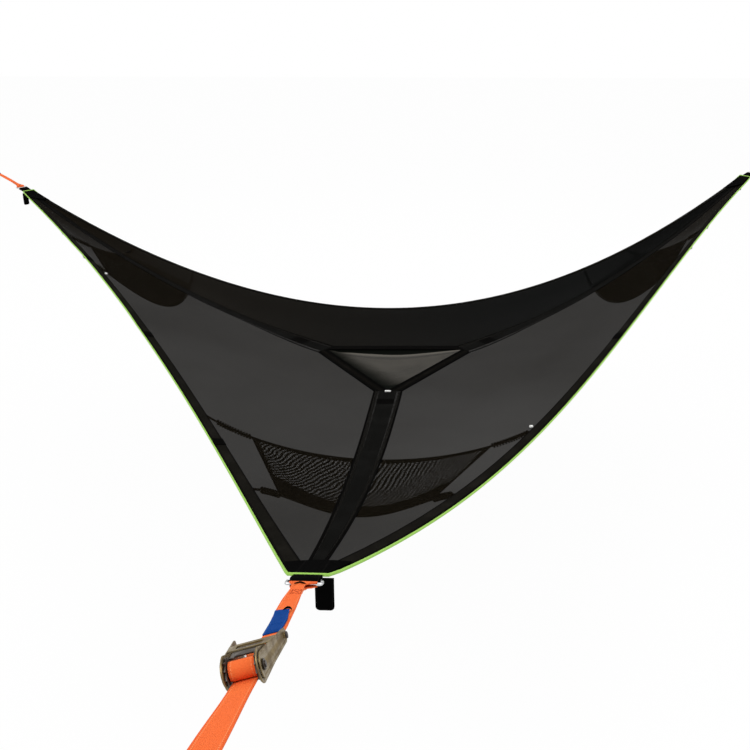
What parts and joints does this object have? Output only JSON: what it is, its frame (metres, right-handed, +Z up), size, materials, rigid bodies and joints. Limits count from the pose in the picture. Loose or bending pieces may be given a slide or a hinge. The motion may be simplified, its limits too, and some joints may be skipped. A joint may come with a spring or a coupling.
{
  "type": "triangle hammock",
  "caption": "Large triangular mesh hammock hung level from ratcheted webbing lines at its corners, with straps to a central hatch and gear pockets slung under each corner.",
  "frame": {"origin": "middle of the front anchor loop, on the line that runs from the hammock's front corner", "axes": "+X to the right seen from the front corner, +Y from the front corner across the hammock, +Z up"},
  "size_m": [5.5158, 4.8671, 1.0737],
  "materials": {
    "mesh_cloth": "matt woven mesh",
    "black_webbing": "matt flat webbing",
    "green_piping": "lime bound piping",
    "hatch_cloth": "thin matt woven cloth",
    "pocket_mesh": "matt open mesh",
    "rope": "matt braided cord",
    "orange_webbing": "orange flat webbing",
    "blue_tab": "smooth woven tab",
    "steel": "bright plated",
    "khaki_plate": "yellow passivated zinc",
    "dark_steel": "dark plated",
    "white_clip": "matt moulded"
  },
  "bodies": {
    "hammock": {"centre_strap_front": "black_webbing", "centre_strap_left": "black_webbing", "centre_strap_right": "black_webbing", "corner_loop_front": "black_webbing", "corner_loop_left": "black_webbing", "corner_loop_right": "black_webbing", "corner_ring_front": "steel", "corner_ring_left": "steel", "corner_ring_right": "steel", "corner_tail_front": "black_webbing", "corner_tail_left": "black_webbing", "corner_tail_right": "black_webbing", "edge_band_far": "black_webbing", "edge_band_left": "black_webbing", "edge_band_right": "black_webbing", "edge_piping": "green_piping", "floor_panel_far": "mesh_cloth", "floor_panel_left": "mesh_cloth", "floor_panel_right": "mesh_cloth", "hatch_rim": "black_webbing", "pocket_clip_front": "white_clip", "pocket_clip_left": "white_clip", "pocket_clip_right": "white_clip", "pocket_front": "pocket_mesh", "pocket_left": "pocket_mesh", "pocket_lower_cord_front": "rope", "pocket_lower_cord_left": "rope", "pocket_lower_cord_right": "rope", "pocket_mouth_cord_front": "rope", "pocket_mouth_cord_left": "rope", "pocket_mouth_cord_right": "rope", "pocket_right": "pocket_mesh", "ratchet_bolt_front": "steel", "ratchet_bolt_left": "steel", "ratchet_bolt_right": "steel", "ratchet_frame_front": "khaki_plate", "ratchet_frame_left": "khaki_plate", "ratchet_frame_right": "khaki_plate", "sling_front": "orange_webbing", "sling_left": "orange_webbing", "sling_right": "orange_webbing", "sling_tab_front": "blue_tab", "sling_tab_left": "blue_tab", "sling_tab_right": "blue_tab", "tree_strap_front": "orange_webbing", "tree_strap_left": "orange_webbing", "tree_strap_right": "orange_webbing"},
    "hatch_cover": {"hatch_cover": "hatch_cloth"},
    "ratchet_handle_front": {"ratchet_handle_front": "khaki_plate"},
    "ratchet_drum_front": {"ratchet_drum_front": "dark_steel"},
    "drive_pawl_front": {"drive_pawl_front": "dark_steel"},
    "lock_pawl_front": {"lock_pawl_front": "dark_steel"},
    "ratchet_handle_left": {"ratchet_handle_left": "khaki_plate"},
    "ratchet_drum_left": {"ratchet_drum_left": "dark_steel"},
    "drive_pawl_left": {"drive_pawl_left": "dark_steel"},
    "lock_pawl_left": {"lock_pawl_left": "dark_steel"},
    "ratchet_handle_right": {"ratchet_handle_right": "khaki_plate"},
    "ratchet_drum_right": {"ratchet_drum_right": "dark_steel"},
    "drive_pawl_right": {"drive_pawl_right": "dark_steel"},
    "lock_pawl_right": {"lock_pawl_right": "dark_steel"}
  },
  "joints": [
    {"name": "hatch_hinge", "type": "hinge", "parent": "hammock", "child": "hatch_cover", "pos_m": [0.10633, 3.32897, -0.94906], "axis": [0.9986, -0.0434, 0.0313], "range_deg": [0, 75]},
    {"name": "handle_pivot_front", "type": "hinge", "parent": "hammock", "child": "ratchet_handle_front", "pos_m": [-0.00303, 0.26962, -0.11769], "axis": [0.9613, 0.1193, 0.2485], "range_deg": [0, 160]},
    {"name": "drum_spin_front", "type": "hinge", "parent": "hammock", "child": "ratchet_drum_front", "pos_m": [-0.00303, 0.26962, -0.11769], "axis": [0.9613, 0.1193, 0.2485], "continuous": true},
    {"name": "drive_pawl_slide_front", "type": "slide", "parent": "ratchet_handle_front", "child": "drive_pawl_front", "axis": [0, 0.9015, -0.4327], "range_m": [0, 0.006]},
    {"name": "lock_pawl_slide_front", "type": "slide", "parent": "hammock", "child": "lock_pawl_front", "axis": [0, 0.9015, -0.4327], "range_m": [0, 0.006]},
    {"name": "handle_pivot_left", "type": "hinge", "parent": "hammock", "child": "ratchet_handle_left", "pos_m": [-2.47664, 4.66311, -0.25435], "axis": [-0.4269, -0.8647, 0.2647], "range_deg": [0, 160]},
    {"name": "drum_spin_left", "type": "hinge", "parent": "hammock", "child": "ratchet_drum_left", "pos_m": [-2.47664, 4.66311, -0.25435], "axis": [-0.4269, -0.8647, 0.2647], "continuous": true},
    {"name": "drive_pawl_slide_left", "type": "slide", "parent": "ratchet_handle_left", "child": "drive_pawl_left", "axis": [0.8246, -0.4924, -0.2785], "range_m": [0, 0.006]},
    {"name": "lock_pawl_slide_left", "type": "slide", "parent": "hammock", "child": "lock_pawl_left", "axis": [0.8246, -0.4924, -0.2785], "range_m": [0, 0.006]},
    {"name": "handle_pivot_right", "type": "hinge", "parent": "hammock", "child": "ratchet_handle_right", "pos_m": [2.47975, 4.6579, -0.14535], "axis": [-0.5588, 0.7859, 0.2647], "range_deg": [0, 160]},
    {"name": "drum_spin_right", "type": "hinge", "parent": "hammock", "child": "ratchet_drum_right", "pos_m": [2.47975, 4.6579, -0.14535], "axis": [-0.5588, 0.7859, 0.2647], "continuous": true},
    {"name": "drive_pawl_slide_right", "type": "slide", "parent": "ratchet_handle_right", "child": "drive_pawl_right", "axis": [-0.8246, -0.4924, -0.2785], "range_m": [0, 0.006]},
    {"name": "lock_pawl_slide_right", "type": "slide", "parent": "hammock", "child": "lock_pawl_right", "axis": [-0.8246, -0.4924, -0.2785], "range_m": [0, 0.006]}
  ]
}
